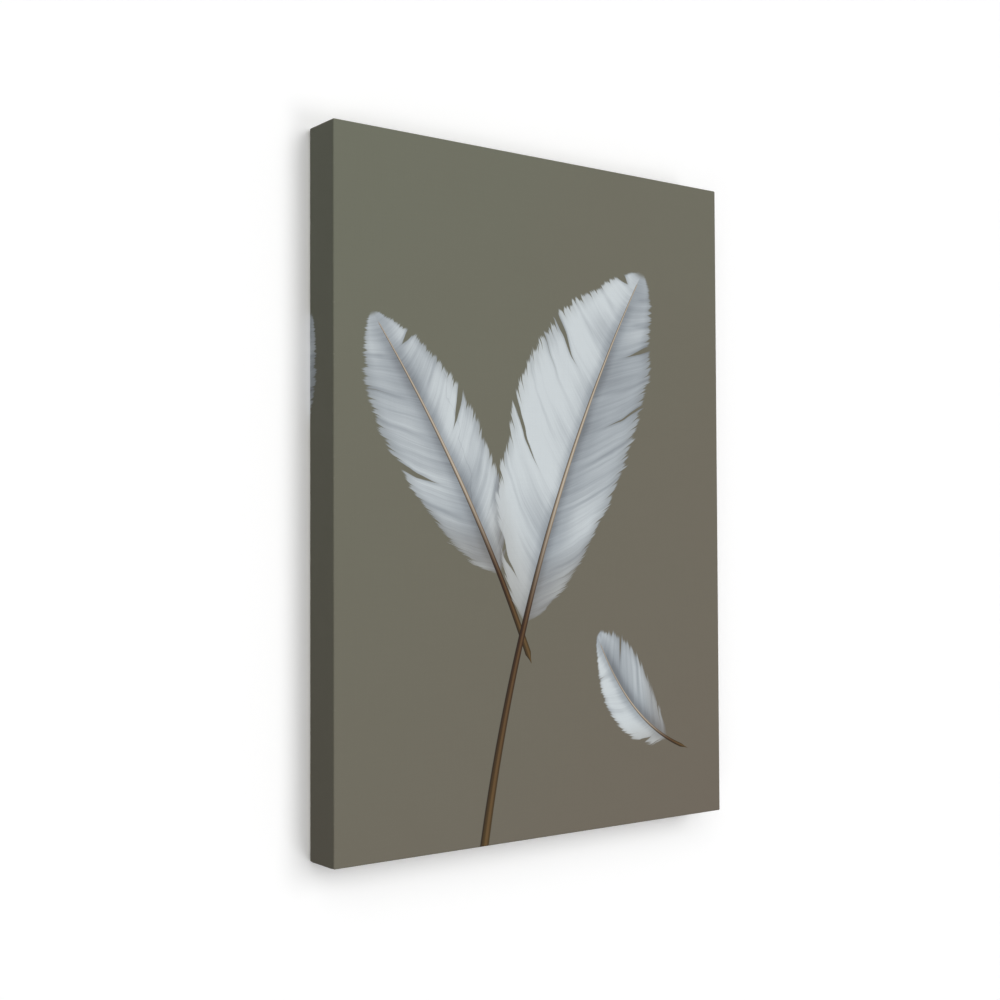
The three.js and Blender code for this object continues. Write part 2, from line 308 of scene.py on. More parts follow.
# ------------------------------------------------------------------ the printed picture
def feather(net, x, z, at, angle, length, bend, wide_left, wide_right, quill, seed,
            thick=5.0, light=0.0, loose=0.2):
    """A feather in the picture's millimetres: where its vane and shaft cover, and how they are shaded."""
    ca, sa = math.cos(math.radians(angle)), math.sin(math.radians(angle))
    dx, dz = x - at[0], z - at[1]
    p = dx.times(ca, dz * sa)
    q = dz.times(ca, dx * -sa)
    s = p * (1.0 / length)
    d = q - s * s * bend
    # slow ripples, so that no edge is a ruled line
    wob = net.noise(p, d, scale=1 / 70, detail=2.0)
    d2 = d + (wob - 0.5) * (net.step(2.0, 60.0, abs(d)) * 16.0)
    a = abs(d2)
    left = d.gt(0.0)
    late = net.step(0.62, 1.02, s)
    w = net.lerp(left, float(wide_right), float(wide_left))
    rel = (a / w).min(1.6)
    # barbs leave the shaft at a slant and sweep towards the tip
    tip_round = late * 15.0
    k = (a * a + tip_round * tip_round).sqrt() * (0.62 + 0.35 * rel) * (1.0 - 0.45 * late)
    ripple = net.noise(p + seed * 31.0, d, scale=1 / 26, detail=3.0)
    looseness = net.step(loose, 0.0, (p - k) * (1 / length))
    b = p - k + (ripple - 0.5) * (rel * (4.0 + 14.0 * looseness))
    u = (b * (1 / length)).clamp()
    bs = b + (left * 400.0 + seed * 57.0)
    form = (u ** 0.42) * ((1.0 - u) ** 0.70) * 2.10
    ragged = net.noise(bs, scale=1 / 12, detail=4.0, rough=0.7)
    wide = w * form * (0.90 + 0.18 * ragged)
    r = (a / wide.max(0.5)).min(3.0)
    # splits, where neighbouring barbs have let go of each other
    gap = net.cells(bs, scale=1 / 46.0)
    open_ = net.noise(bs + 333.0, scale=1 / 60, detail=1.0)
    reach = net.step(0.25, 1.0, r) * net.step(0.46, 0.64, open_)
    split1 = net.step(-0.030, 0.0, gap - reach * 0.13)
    g2 = net.cells(bs + 900.0, scale=1 / 13.0)
    split2 = net.step(-0.10, 0.0, g2 - net.step(0.80, 1.12, r) * 0.26)
    # single barbs
    fine = net.noise(bs, a * 0.03, scale=1 / 1.5, detail=2.0, rough=0.6)
    mid = net.noise(bs + 70.0, a * 0.05, scale=1 / 5.0, detail=2.0)
    ends = wide - a + (fine - 0.5) * (5.0 + 24.0 * looseness) + (mid - 0.5) * 5.0
    edge = net.step(-0.6, 2.6, ends)
    strands = net.step(
        0.44, 0.60, fine * 0.5 + mid * 0.5 + 0.24 * (1.0 - r).max(0.0) + 0.08
    )
    holes = net.lerp(net.step(0.25, 1.0, looseness), 1.0, strands)
    within = net.step(-4.0, 6.0, b) * net.step(0.998, 0.975, b * (1 / length))
    vane = edge * split1 * split2 * holes * within
    # shade: curved vanes, darker by the shaft and in the grooves between barbs
    near = net.step(0.0, 0.50, rel)
    roll = net.noise(bs + 120.0, a * 0.22, scale=1 / 58, detail=2.0)
    bodily = net.noise(p, d2, scale=1 / 110, detail=1.0)
    tip = net.step(1.0, 0.82, u)
    shade = (
        0.62
        + 0.20 * near
        + 0.62 * (roll - 0.5)
        + 0.50 * (bodily - 0.5)
        + 0.20 * (mid - 0.5)
        + 0.16 * (fine - 0.5)
        + (left - 0.5) * (0.20 + light) * tip
        - 0.14 * net.step(0.70, 1.05, r)
        - 0.22 * net.step(14.0, 0.0, a) * tip
        - 0.16 * net.step(0.10, 0.0, gap - reach * 0.13) * net.step(0.15, 0.6, r)
    )
    thin = 1.0 - 0.20 * net.step(0.75, 1.05, r) - 0.28 * looseness
    # shaft
    hw = net.step(-quill, length, p, to=(thick, 0.55), smooth=False)
    hw = hw.min(net.step(length * 0.985, length * 0.90, p, to=(0.0, thick)))
    hw = hw.min(net.step(-quill, -quill + 16.0, p, to=(thick * 0.12, thick * 1.2)))
    cross = d / hw.max(0.05)
    shaft = (
        net.step(1.08, 0.86, abs(cross))
        * net.step(-quill - 0.5, -quill + 1.0, p)
        * p.lt(length * 0.985)
    )
    return dict(
        vane=vane * thin,
        shade=shade,
        shaft=shaft,
        round=(1.0 - (cross + 0.25) * (cross + 0.25) * 0.72).max(0.05),
        pale=net.step(-12.0, length * 0.42, p),
        looseness=looseness,
        shadow=net.step(16.0, -2.0, (r - 1.0) * wide) * within,
        along=net.step(-quill, 0.0, p, smooth=False),
    )


VANE_DARK, VANE_MID, VANE_LIGHT = (
    srgb(118, 123, 128),
    srgb(160, 167, 173),
    srgb(207, 214, 217),
)


def lay(net, ground, f):
    """Lays a feather over the ground."""
    body = net.mix(net.step(0.15, 0.62, f["shade"]), VANE_DARK, VANE_MID)
    body = net.mix(net.step(0.5, 1.0, f["shade"]), body, VANE_LIGHT)
    warm = net.mix(0.55, body, srgb(150, 138, 128))
    body = net.mix(f["looseness"] * 0.5, body, warm)
    out = net.mix(f["vane"], ground, body)
    brown = net.mix(f["along"], srgb(84, 66, 33), srgb(62, 38, 22))
    base = net.mix(f["pale"], brown, srgb(173, 155, 131))
    shaft = net.mix(f["round"], srgb(30, 20, 12), base)
    gleam = net.mix(f["pale"], srgb(128, 98, 62), srgb(226, 224, 216))
    shaft = net.mix(net.step(0.86, 1.0, f["round"]) * 0.35, shaft, gleam)
    return net.mix(f["shaft"], out, shaft)


def picture(net, x, z):
    """The print's colour at a point of the picture, in millimetres from its centre."""
    # ground: olive above, warmer below, with a slow cloudiness
    up = net.step(-575.0, 575.0, z - x * 0.9, smooth=False)
    cloud = net.noise(x, z, scale=1 / 320, detail=2.0) - 0.5
    ground = net.mix(up + cloud * 0.3, srgb(111, 103, 91), srgb(110, 112, 97))
    tall = feather(net, x, z, (-26, -130), 73.0, 402.0, -46.0, 94.0, 72.0, 268.0, 3.0,
                   thick=5.8, light=0.10)
    low = feather(net, x, z, (-58, -80), 115.5, 288.0, 26.0, 58.0, 50.0, 100.0, 8.0,
                  thick=4.0, light=-0.30, loose=0.24)
    small = feather(net, x, z, (169, -262), 151.0, 138.0, -50.0, 32.0, 40.0, 34.0, 5.0,
                    thick=2.2, light=0.1, loose=0.36)
    col = lay(net, ground, small)
    low["shade"] = low["shade"] - 0.34 * tall["shadow"] - 0.04
    col = lay(net, col, low)
    return lay(net, col, tall)


# ------------------------------------------------------------------ cloth
def weave(net, u, v, pitch=0.55):
    """A plain weave: height of the threads, 0 to 1, and how thick each thread is."""
    s = math.pi / pitch
    slub_u = net.noise(v * (1 / pitch), u * 0.02, scale=0.9, detail=1.0)
    slub_v = net.noise(u * (1 / pitch), v * 0.02, scale=0.9, detail=1.0)
    a = (u * s).sin()
    b = (v * s).sin()
    over = a * b  # which thread lies on top
    warp = abs(a) * (0.7 + 0.6 * slub_v)
    weft = abs(b) * (0.7 + 0.6 * slub_u)
    top = net.lerp(net.step(-0.25, 0.25, over), weft, warp)
    return top, slub_u + slub_v - 1.0


def canvas_materials():
    raw_light, raw_dark = srgb(229, 223, 209), srgb(218, 211, 195)

    def raw_colour(net, u, v, top, slub):
        cloud = net.noise(u, v, scale=1 / 110, detail=2.0)
        c = net.mix(net.step(0.3, 0.75, cloud), raw_light, raw_dark)
        # seed husks, the dark flecks of unbleached cotton
        fleck = net.cells(u, v * 0.45, scale=1 / 8, feature="F1")
        which = net.noise(u, v, scale=1 / 11, detail=1.0)
        c = net.mix(
            net.step(0.055, 0.02, fleck) * net.step(0.56, 0.72, which) * 0.75,
            c,
            srgb(134, 114, 84),
        )
        # painted shade: darker in the hollows between the threads of the weave and lighter on their tops; the
        # slubs vary the tone
        return net.tone(c, 0.90 + top * 0.13 + slub * 0.09)

    printed, net, i = material("printed_canvas", rough=0.8, specular=0.28)
    u, v = net.uv("Print")
    top, slub = weave(net, u, v)
    col = picture(net, u, v)
    # the print is a little lighter on the raised threads and darker between them, and varies with the slubs and in
    # fine specks
    speck = net.noise(u, v, scale=1 / 0.9, detail=1.0)
    col = net.tone(col, 1.0 + slub * 0.03 + (top - 0.5) * 0.06 + (speck - 0.5) * 0.04)
    raw = raw_colour(net, u, v, top, slub)
    wrap = net.attribute("wrap")
    wander = net.noise(u + v, scale=1 / 30, detail=3.0)
    bare = net.step(50.4, 51.0, wrap + (wander - 0.5) * 1.6)
    # handling has rubbed the print a little along the edges
    rub = net.noise(u, v, scale=1 / 5, detail=4.0, rough=0.7)
    worn = net.attribute("worn") * net.step(0.60, 0.78, rub) * 0.22
    col = net.mix(worn, col, srgb(168, 164, 152))
    # painted shade: the colour darkens along the corners' folded grooves and the mitres on the back
    shade = 1.0 - 0.5 * net.attribute("crease")
    net.put(i["Base Color"], net.tone(net.mix(bare, col, raw), shade))
    smear = net.noise(u, v, scale=1 / 90, detail=3.0)
    net.put(i["Roughness"], 0.66 + 0.10 * smear + 0.16 * bare + 0.06 * (top - 0.5))
    height = top * (0.075 + 0.065 * bare) + slub * 0.015
    net.put(i["Normal"], net.bump(height, strength=0.7))

    back, net, i = material("raw_canvas", rough=0.9, specular=0.2)
    u, v = net.uv("Print")
    top, slub = weave(net, u, v)
    net.put(i["Base Color"], raw_colour(net, u, v, top, slub))
    net.put(i["Roughness"], 0.84 + 0.12 * net.noise(u, v, scale=1 / 40, detail=2.0))
    net.put(i["Normal"], net.bump(top * 0.14 + slub * 0.03, strength=0.9))
    return printed, back


# ------------------------------------------------------------------ wood
def wood(name, axis, seed, pale, dark, knots=1.0, spacing=2.1, rough=0.62):
    """Sawn softwood, with its grain along an axis of the row frame."""
    m, net, i = material(name, rough=rough, specular=0.3)
    x, y, z = net.place()
    along, p, q = {"x": (x, y, z), "z": (z, x, y)}[axis]
    along = along + seed * 137.0
    p, q = p + seed * 23.0, q + seed * 11.0
    bend = net.noise(along, p, q, scale=1 / 240, detail=1.0) - 0.5
    # knots stand in a few places along the bar, and the rings flow round them
    kx = net.node("ShaderNodeTexVoronoi", voronoi_dimensions="3D", feature="F1")
    net.put(kx.inputs["Vector"], net.xyz(along * (1 / 150), p * (1 / 60), q * (1 / 60)))
    kx.inputs["Scale"].default_value = 1.0
    far = Val(net, kx.outputs["Distance"]) * 60.0
    pick = net.split(Val(net, kx.outputs["Color"]))[0]
    chosen = pick.gt(1.0 - 0.34 * knots)
    size = 3.4 + 3.0 * pick
    knot = net.step(size + 0.8, size - 0.8, far) * chosen
    halo = net.step(size * 3.4, size, far) * chosen
    cx, cy = 46.0 + seed * 3.0, 28.0 - seed * 5.0
    dp, dq = p - cx + bend * 34.0, q - cy + bend * 22.0
    r = (dp * dp + dq * dq).sqrt() + along * 0.004 + halo * 3.2
    wob = net.noise(along * 0.05, p, q, scale=1 / 9, detail=3.0)
    ring = (r * (1.0 / spacing) + (wob - 0.5) * 0.5).fract()
    late = net.step(0.50, 0.92, ring) * net.step(1.0, 0.94, ring)
    year = net.noise(r, scale=1 / (spacing * 1.2), detail=1.0)
    fibre = net.noise(along * 0.03, p, q, scale=1 / 0.55, detail=3.0, rough=0.65)
    streak = net.noise(along * 0.012, p, q, scale=1 / 4.0, detail=2.0)
    c = net.mix(late * (0.22 + 0.62 * year), pale, dark)
    c = net.tone(c, 0.84 + 0.20 * fibre + 0.14 * streak)
    tan_ = net.mix(0.5, c, tuple(0.55 * a for a in dark))
    c = net.mix(halo * 0.35, c, tan_)
    kring = (far * 1.1).sin() * 0.5 + 0.5
    kc = net.mix(kring, srgb(92, 55, 30), srgb(140, 88, 48))
    c = net.mix(knot, c, kc)
    rim = net.step(1.6, 0.2, abs(far - size)) * chosen
    c = net.mix(rim * 0.7, c, srgb(58, 34, 20))
    # handling has left the wood a little grey in places
    grime = net.noise(x, y, z, scale=1 / 60, detail=3.0)
    c = net.tone(c, 1.04 - 0.12 * net.step(0.52, 0.80, grime))
    net.put(i["Base Color"], c)
    net.put(i["Roughness"], rough - 0.08 * late + 0.14 * (fibre - 0.5))
    planed = (along * (2 * math.pi / 2.6)).sin() * 0.5
    height = fibre * 0.10 + late * 0.05 + planed * 0.012 + knot * -0.05
    net.put(i["Normal"], net.bump(height, strength=0.6))
    return m


# ------------------------------------------------------------------ metal and rubber
def metal(name, base, rough, seed, brushed=None, dull=0.25, tarnish=(0.30, 0.27, 0.22)):
    m, net, i = material(name, rough=rough, metal=1.0)
    x, y, z = net.place()
    stretch = {None: (1.0, 1.0, 1.0), "x": (0.06, 1.0, 1.0), "z": (1.0, 1.0, 0.06)}[
        brushed
    ]
    lines = net.noise(
        x * stretch[0] + seed, y * stretch[1], z * stretch[2], scale=4.0, detail=2.0
    )
    patch = net.noise(x + seed * 9.0, y, z, scale=0.35, detail=3.0, rough=0.6)
    spot = net.noise(x, y + seed * 5.0, z, scale=1.6, detail=4.0, rough=0.75)
    c = net.tone(base, 0.84 + 0.20 * patch + 0.12 * lines)
    c = net.mix(net.step(0.58, 0.80, spot) * dull, c, tarnish)
    net.put(i["Base Color"], c)
    net.put(
        i["Roughness"], rough - 0.08 + 0.16 * patch + 0.20 * net.step(0.55, 0.8, spot)
    )
    net.put(i["Normal"], net.bump(lines * 0.010 + spot * 0.015, strength=0.5))
    return m


def rubber(name, base, seed):
    m, net, i = material(name, rough=0.6, specular=0.4)
    x, y, z = net.place()
    n1 = net.noise(x + seed, y, z, scale=1.2, detail=3.0)
    dust = net.noise(x + seed, y, z, scale=0.5, detail=5.0, rough=0.7)
    c = net.tone(base, 0.8 + 0.5 * n1)
    c = net.mix(net.step(0.55, 0.85, dust) * 0.30, c, srgb(132, 128, 120))
    net.put(i["Base Color"], c)
    net.put(i["Roughness"], 0.48 + 0.28 * dust)
    net.put(i["Normal"], net.bump(n1 * 0.05, strength=0.5))
    return m


# ------------------------------------------------------------------ the canvas
def stations(half, fine):
    """Places along one side, from -half to half, close together by both ends."""
    ends = [half - d for d in fine]
    inner = ends[-1]
    n = int(round(2 * inner / 6.0))
    mid = [-inner + 2 * inner * k / n for k in range(1, n)]
    return [-e for e in ends] + mid + ends[::-1]


FOLD = [0.0, 0.3, 0.6, 0.95, 1.5, 2.4, 4, 6.5, 9.5, 13, 17, 21.5, 26.5, 32, 38, 44, 50]
PLAIN = [0.0, 0.6, 1.6, 4.0, 8.0, 13.0, 19.0]
XS = stations(W / 2 - EDGE_R, FOLD)
ZS = stations(H / 2 - EDGE_R, PLAIN)
ARC = 6  # steps round each corner


def smooth(lo, hi, v):
    t = min(max((v - lo) / (hi - lo), 0.0), 1.0)
    return t * t * (3 - 2 * t)


def wave(a, b, seed=0.0):
    return mnoise.noise(Vector((a, b, seed)))


def build_canvas(printed, raw):
    # Rings run round the picture, from the face's edge over the side to the cut edge.
    # Each is (outline's half width less the corner's radius, radius, y, arc length).
    rings = []
    hw, hh = W / 2 - EDGE_R, H / 2 - EDGE_R
    quarter = EDGE_R * math.pi / 2
    for k in range(7):
        t = k / 6 * math.pi / 2
        rings.append((0.0, EDGE_R * math.sin(t), FRONT + EDGE_R * (1 - math.cos(t)), quarter * k / 6))
    y0, y1 = FRONT + EDGE_R, BACK - EDGE_R
    side = y1 - y0
    n = 18
    for k in range(1, n + 1):
        rings.append((0.0, EDGE_R, y0 + side * k / n, quarter + side * k / n))
    for k in range(1, 6):
        t = k / 5 * math.pi / 2
        rings.append((0.0, EDGE_R * math.cos(t), y1 + EDGE_R * math.sin(t), quarter + side + quarter * k / 5))
    depth = 2 * quarter + side
    last = FLAP - EDGE_R
    inset = [0.8, 2.0, 4.0, 6.0, 7.8, 9.2, 10.0, 10.8, 12.2, 14.0, 16.0, 17.6, last]
    for e in inset:
        rings.append((e, 0.0, BACK, depth + e))
    n_round, first_flap = 7, len(rings) - len(inset)

    # Perimeter: (side, place along it, step round the corner that follows)
    perimeter = []
    for s, pts in (("top", XS), ("right", ZS[::-1]), ("bottom", XS[::-1]), ("left", ZS)):
        for c in pts:
            perimeter.append((s, c, 0))
        for j in range(1, ARC):
            perimeter.append((s, None, j))
    M = len(perimeter)
    normal = {"top": (0, 1), "right": (1, 0), "bottom": (0, -1), "left": (-1, 0)}
    follow = {"top": "right", "right": "bottom", "bottom": "left", "left": "top"}
    corner = {"top": (1, 1), "right": (1, -1), "bottom": (-1, -1), "left": (-1, 1)}
    # how far from the corner the points of a collapsed arc are spread on the flap
    spread = [0, 1.5, 0.45, 0.0, 0.55, 1.5]

    def reach(k, half):
        """How far along a side its own places go at ring k; on the flap they leave room for the mitre."""
        room = 2.4 * min(1.0, rings[k][0] / 3.0) if k > first_flap else 0.0
        return (half - rings[k][0] - room) / half

    def outline(k, m):
        """(x, y, z) of ring k at perimeter place m, with no wear, and its own side."""
        inset_, rho, y, _ = rings[k]
        s, c, j = perimeter[m]
        nx, nz = normal[s]
        bw, bh = hw - inset_, hh - inset_
        if j == 0:
            if s in ("top", "bottom"):
                return c * reach(k, hw), y, nz * (bh + rho), s
            return nx * (bw + rho), y, c * reach(k, hh), s
        cx, cz = corner[s][0] * bw, corner[s][1] * bh
        fx, fz = normal[follow[s]]
        t = j / ARC * math.pi / 2
        own = s if j < ARC / 2 else follow[s]
        x = cx + rho * (nx * math.cos(t) + fx * math.sin(t))
        z = cz + rho * (nz * math.cos(t) + fz * math.sin(t))
        if k > first_flap:  # the arc has shrunk to a point: spread it along both sides
            g = spread[j] * min(1.0, inset_ / 3.0)
            if j < ARC / 2:
                x, z = x - fx * g, z - fz * g
            elif j > ARC / 2:
                x, z = x - nx * g, z - nz * g
        return x, y, z, own

    def facing(k, m):
        """Which way the plain wrapped box faces at ring k, perimeter place m."""
        s, c, j = perimeter[m]
        nx, nz = normal[s]
        if j:
            fx, fz = normal[follow[s]]
            t = j / ARC * math.pi / 2
            nx, nz = nx * math.cos(t) + fx * math.sin(t), nz * math.cos(t) + fz * math.sin(t)
        if k < n_round:
            t = k / 6 * math.pi / 2
            out, ny = math.sin(t), -math.cos(t)
        elif k < n_round + n:
            out, ny = 1.0, 0.0
        elif k < first_flap - 1:
            t = (k - n_round - n + 1) / 5 * math.pi / 2
            out, ny = math.cos(t), math.sin(t)
        else:
            out, ny = 0.0, 1.0
        return nx * out, ny, nz * out

    staples = staple_places()

    def relief(k, m, x, y, z, own):
        """How the cloth lies: folds at the corners, pulls and dents."""
        arc = rings[k][3]
        dx = dy = dz = 0.0
        upright = own in ("left", "right")
        run = z if upright else x
        to_corner = (H / 2 - abs(z)) if upright else (W / 2 - abs(x))
        if k >= 1 and arc <= depth + 1e-6:
            back = smooth(0.0, depth, arc)
            # pulls between the staples, strongest by the back edge
            pull = 0.10 * wave(run / 21.0, arc / 40.0, 3.0 if upright else 5.0) * back
            if not upright and perimeter[m][2] == 0:
                # the spare cloth of the corner is folded under: two more layers
                # in a triangle that widens towards the back
                s = W / 2 - EDGE_R - abs(x)
                far = arc - quarter * 0.6
                under = 0.80 * smooth(6.0, -5.0, s - max(far, 0.0) * 0.98)
                lip = smooth(0.0, 1.0, s / 0.95)
                groove = -0.34 * math.exp(-(((s - 0.30) / 0.26) ** 2))
                grow = smooth(1.0, 9.0, far)
                pull += (under * lip + groove) * grow
                # a faint ridge where the hidden fold ends
                pull += 0.10 * math.exp(-(((s - far * 0.98 + 1.5) / 2.2) ** 2)) * grow
            nx, nz = normal[own]
            dx, dz = nx * pull, nz * pull
        if k > first_flap:
            e = rings[k][0] + EDGE_R
            j = perimeter[m][2]
            s = W / 2 - abs(x) if not upright else H / 2 - abs(z)
            fold = 0.0
            if not upright:
                # the top and bottom flaps lie over the side ones, with a mitred lip
                gap = s - e if j == 0 else 0.0
                fold = 0.92 * smooth(20.0, 3.0, gap) * smooth(0.0, 3.0, rings[k][0])
                if j == 3:
                    fold *= 0.12
                elif j == 2:
                    fold *= 0.86
            elif j == 0:
                fold = 0.18 * smooth(14.0, 2.0, s - e) * smooth(0.0, 4.0, rings[k][0])
            ripple = 0.20 * wave(run / 16.0, e / 14.0, 9.0) * smooth(4.0, 16.0, e)
            lift = 0.32 * max(0.0, wave(run / 34.0, 0.0, 17.0) + 0.15) * smooth(13.0, 21.0, e)
            dent = 0.0
            for sx, sz, ang, _ in staples:
                ox, oz = x - sx, z - sz
                if abs(ox) < 12 and abs(oz) < 12:
                    ca, sa = math.cos(ang), math.sin(ang)
                    a = ox * ca + oz * sa
                    b = -ox * sa + oz * ca
                    q = (a / 7.4) ** 2 + (b / 2.6) ** 2
                    dent = max(dent, math.exp(-q))
            dy += (ripple + lift) * (1 - 0.8 * dent) - 0.22 * dent + fold
            dy = max(dy, -0.24)
        # the cut edge wanders, and its threads stand out unevenly
        if k == len(rings) - 1:
            wander = 0.9 * wave(run / 47.0, 1.0, 21.0) + 0.35 * wave(run / 3.1, 2.0, 25.0)
            nx, nz = normal[own]
            dx, dz = dx + nx * wander, dz + nz * wander
        return x + dx, y + dy, z + dz

    def crease(k, m):
        """How much painted shade lies here: 1 in the shade of a fold, along the corner's groove and the mitre on
        the back.
        """
        s, c, j = perimeter[m]
        if k > first_flap:
            own = s if j < ARC / 2 else follow[s]
            lip = j == 3 or (own in ("left", "right") and j in (4, 2))
            return (1.0 if j == 3 else 0.45) * smooth(0.0, 4.0, rings[k][0]) if lip else 0.0
        if k < n_round or s in ("left", "right") or j:
            return 0.0
        d = W / 2 - EDGE_R - abs(c)
        return math.exp(-(((d - 0.30) / 0.30) ** 2)) * smooth(3.0, 12.0, rings[k][3])

    verts, info = [], []
    index = {}

    def vert(key, co, **facts):
        if key not in index:
            index[key] = len(verts)
            verts.append(co)
            info.append(facts)
        return index[key]

    def ring_vert(k, m):
        x, y, z, own = outline(k, m)
        rho = rings[k][1]
        if rho < 1e-9 and k <= first_flap and perimeter[m][2]:
            # a collapsed corner is one point, shared with the next side's first place
            return ring_vert(k, (m + ARC - perimeter[m][2]) % M)
        if rho < 1e-9 and k <= first_flap and perimeter[m][1] in (XS[0], XS[-1], ZS[0], ZS[-1]):
            key = ("c", k, round(x, 3), round(z, 3))
        else:
            key = ("r", k, m)
        return vert(key, relief(k, m, x, y, z, own), arc=rings[k][3], out=facing(k, m), crease=crease(k, m))

    faces, which = [], []  # which: region, and each corner's (along, across) there

    # face of the picture
    grid = {}
    for a, x in enumerate(XS):
        for b, z in enumerate(ZS):
            edge_a, edge_b = a in (0, len(XS) - 1), b in (0, len(ZS) - 1)
            if edge_a or edge_b:
                continue
            slack = 0.10 * wave(x / 130.0, z / 130.0, 31.0) * min(
                1.0, (W / 2 - abs(x)) / 30, (H / 2 - abs(z)) / 30
            )
            inside = min(W / 2 - abs(x), H / 2 - abs(z)) - EDGE_R
            grid[a, b] = vert(("g", a, b), (x, FRONT + slack, z), arc=-inside, out=(0.0, -1.0, 0.0), crease=0.0)
    nX, nZ = len(XS), len(ZS)
    starts = {"top": 0, "right": nX + ARC - 1}
    starts["bottom"] = starts["right"] + nZ + ARC - 1
    starts["left"] = starts["bottom"] + nX + ARC - 1

    def face_vert(a, b):
        if (a, b) in grid:
            return grid[a, b]
        if b == nZ - 1:
            return ring_vert(0, starts["top"] + a)
        if a == nX - 1:
            return ring_vert(0, starts["right"] + nZ - 1 - b)
        if b == 0:
            return ring_vert(0, starts["bottom"] + nX - 1 - a)
        return ring_vert(0, starts["left"] + b)

    for a in range(nX - 1):
        for b in range(nZ - 1):
            ids = [face_vert(a, b), face_vert(a + 1, b), face_vert(a + 1, b + 1), face_vert(a, b + 1)]
            uv = [(XS[a], ZS[b]), (XS[a + 1], ZS[b]), (XS[a + 1], ZS[b + 1]), (XS[a], ZS[b + 1])]
            faces.append(ids)
            which.append(("face", uv))

    def along(k, m, s):
        """Place along side s of perimeter place m, unrolled past the corner."""
        own, c, j = perimeter[m]
        half = hw if s in ("top", "bottom") else hh
        f = reach(k, half)
        if own == s and j == 0:
            return c * f
        # corner that follows side own, or the one before side s
        sign = {"top": 1, "right": -1, "bottom": -1, "left": 1}
        step_ = EDGE_R * math.pi / 2 / ARC
        if own == s:
            return sign[s] * (half * f + j * step_)
        return -sign[s] * (half * f + (ARC - j) * step_)

    for k in range(len(rings) - 1):
        for m in range(M):
            m2 = (m + 1) % M
            own, c, j = perimeter[m]
            s = own if j < ARC / 2 else follow[own]
            ids = [ring_vert(k, m), ring_vert(k, m2), ring_vert(k + 1, m2), ring_vert(k + 1, m)]
            uv = [
                (along(k, m, s), rings[k][3]),
                (along(k, m2, s), rings[k][3]),
                (along(k + 1, m2, s), rings[k + 1][3]),
                (along(k + 1, m, s), rings[k + 1][3]),
            ]
            keep = [i for i in range(4) if ids[i] != ids[(i + 1) % 4]]
            if len(keep) < 3:
                continue
            faces.append([ids[i] for i in keep])
            which.append((s, [uv[i] for i in keep]))

    outer = np.array(verts)
    N = len(outer)
    # the cloth's inner face lies one thickness in from the plain box's own faces
    inner = outer - np.array([i["out"] for i in info]) * CLOTH
    p, q, r = (outer[i] for i in faces[0][:3])
    if np.cross(q - p, r - p)[1] > 0:
        faces = [f[::-1] for f in faces]
        which = [(s, uv[::-1]) for s, uv in which]
    rim = [ring_vert(len(rings) - 1, m) for m in range(M)]
    all_verts = np.concatenate([outer, inner])
    all_faces = list(faces) + [[i + N for i in f[::-1]] for f in faces]
    regions = list(which) + [("in_" + s, uv[::-1]) for s, uv in which]
    seam = {}
    for f in faces:
        for i in range(len(f)):
            seam[f[i], f[(i + 1) % len(f)]] = True
    for m in range(M):
        a, b = rim[m], rim[(m + 1) % M]
        if (a, b) in seam:  # the rim runs against the face it closes
            q = [b, a, a + N, b + N]
        else:
            q = [a, b, b + N, a + N]
        all_faces.append(q)
        c0, c1 = m / M, (m + 1) / M
        regions.append(("rim", [(c0, 0.0), (c1, 0.0), (c1, 1.0), (c0, 1.0)] if (a, b) not in seam
                        else [(c1, 0.0), (c0, 0.0), (c0, 1.0), (c1, 1.0)]))

    co = all_verts.copy()
    co[:, 2] -= HOOK_Z
    ob = new_mesh("canvas_cloth", co * MM, all_faces, (printed, raw))
    me = ob.data
    me.polygons.foreach_set(
        "material_index", [0 if not s.startswith("in_") and s != "rim" else 1 for s, _ in regions]
    )

    # print map: the picture's own place, mirrored past its edges
    turn_at = EDGE_R * math.pi / 4

    def print_place(s, uv):
        s = s[3:] if s.startswith("in_") else s
        if s == "face":
            return uv
        half = hw if s in ("left", "right") else hh
        a, arc = uv
        m = half + turn_at
        across = m - abs(half + arc - m)
        lim = (hh if s in ("left", "right") else hw) + turn_at
        a = a if abs(a) <= lim else math.copysign(2 * lim - abs(a), a)
        return {
            "left": (-across, a),
            "right": (across, a),
            "top": (a, across),
            "bottom": (a, -across),
        }[s]

    # bake map: the face takes most of it, and every other part has its own place
    K = 1 / 762.0

    def bake_place(s, uv):
        a, b = uv
        if s == "face":
            return 0.004 + (a + hw) * K, 0.004 + (b + hh) * K
        if s in ("left", "right", "top", "bottom"):
            x = {"left": 0.668, "right": 0.735, "top": 0.802, "bottom": 0.869}[s]
            half = (hh if s in ("left", "right") else hw) + 3.5
            return x + b * 0.00089, 0.004 + (a + half) * K
        if s == "rim":
            return 0.01 + a * 0.64, 0.945 + b * 0.02
        s = s[3:]
        k2 = 0.000290
        cx, cy = 0.898, 0.845
        if s == "face":
            return cx + a * k2, cy + b * k2
        if s in ("left", "right"):
            sg = -1 if s == "left" else 1
            return cx + sg * (hw + b) * k2, cy + a * k2
        sg = -1 if s == "bottom" else 1
        return cx + a * k2, cy + sg * (hh + b) * k2

    pm, bm_ = me.uv_layers.new(name="Print"), me.uv_layers.new(name="OFBake")
    pu, bu = [], []
    for s, uv in regions:
        for c in uv:
            bu.extend(bake_place(s, c))
            if s == "rim":
                pu.extend((c[0] * 3000 * MM, c[1] * CLOTH * MM))
            else:
                q = print_place(s, c)
                pu.extend((q[0] * MM, q[1] * MM))
    pm.data.foreach_set("uv", pu)
    bm_.data.foreach_set("uv", bu)
    me.uv_layers.active = bm_

